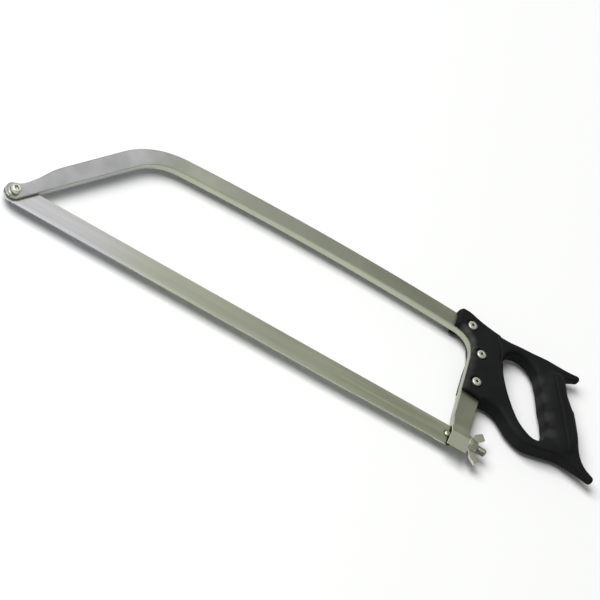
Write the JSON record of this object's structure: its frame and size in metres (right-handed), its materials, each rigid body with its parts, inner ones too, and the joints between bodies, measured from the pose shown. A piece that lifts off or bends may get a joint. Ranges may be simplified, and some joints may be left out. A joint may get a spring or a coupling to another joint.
{
  "type": "butcher saw",
  "caption": "Bow saw for meat and bone: bent flat-tube steel frame, toothed strip blade tensioned by a wing nut, black moulded pistol-grip handle.",
  "frame": {"origin": "middle of the saw's outline, on the plane it lies on", "axes": "+X from the nose to the handle, +Y from the blade to the back bar, +Z through the thickness, towards the screw heads"},
  "size_m": [0.6682, 0.17, 0.027],
  "materials": {
    "frame_steel": "satin stainless steel",
    "blade_steel": "satin rolled strip",
    "nickel": "nickel plated",
    "black_plastic": "fine moulded texture"
  },
  "bodies": {
    "frame_body": {"frame": "frame_steel", "handle": "black_plastic", "handle_screw_1": "nickel", "handle_screw_2": "nickel", "handle_screw_3": "nickel", "handle_sleeve_1": "nickel", "handle_sleeve_2": "nickel", "handle_sleeve_3": "nickel", "front_bolt": "nickel", "front_nut": "nickel", "front_spacer_near": "frame_steel", "front_spacer_far": "frame_steel", "thrust_washer": "frame_steel"},
    "blade_body": {"blade": "blade_steel", "blade_pin": "nickel"},
    "draw_bolt_body": {"draw_bolt": "nickel"},
    "wing_nut_body": {"wing_nut": "nickel"}
  },
  "joints": [
    {"name": "blade_swing", "type": "hinge", "parent": "frame_body", "child": "blade_body", "pos_m": [-0.32488, -0.06835, 0.0135], "axis": [0, 0, 1], "range_deg": [-170, 0]},
    {"name": "wing_nut_turn", "type": "hinge", "parent": "frame_body", "child": "wing_nut_body", "pos_m": [0.20512, -0.06465, 0.0135], "axis": [1, 0, 0], "range_deg": [0, 1150]},
    {"name": "draw_bolt_slide", "type": "slide", "parent": "frame_body", "child": "draw_bolt_body", "axis": [-1, 0, 0], "range_m": [0, 0.004]}
  ],
  "couplings": [
    {"joint": "draw_bolt_slide", "follows": "wing_nut_turn", "m_per_rad": 0.00019894}
  ]
}
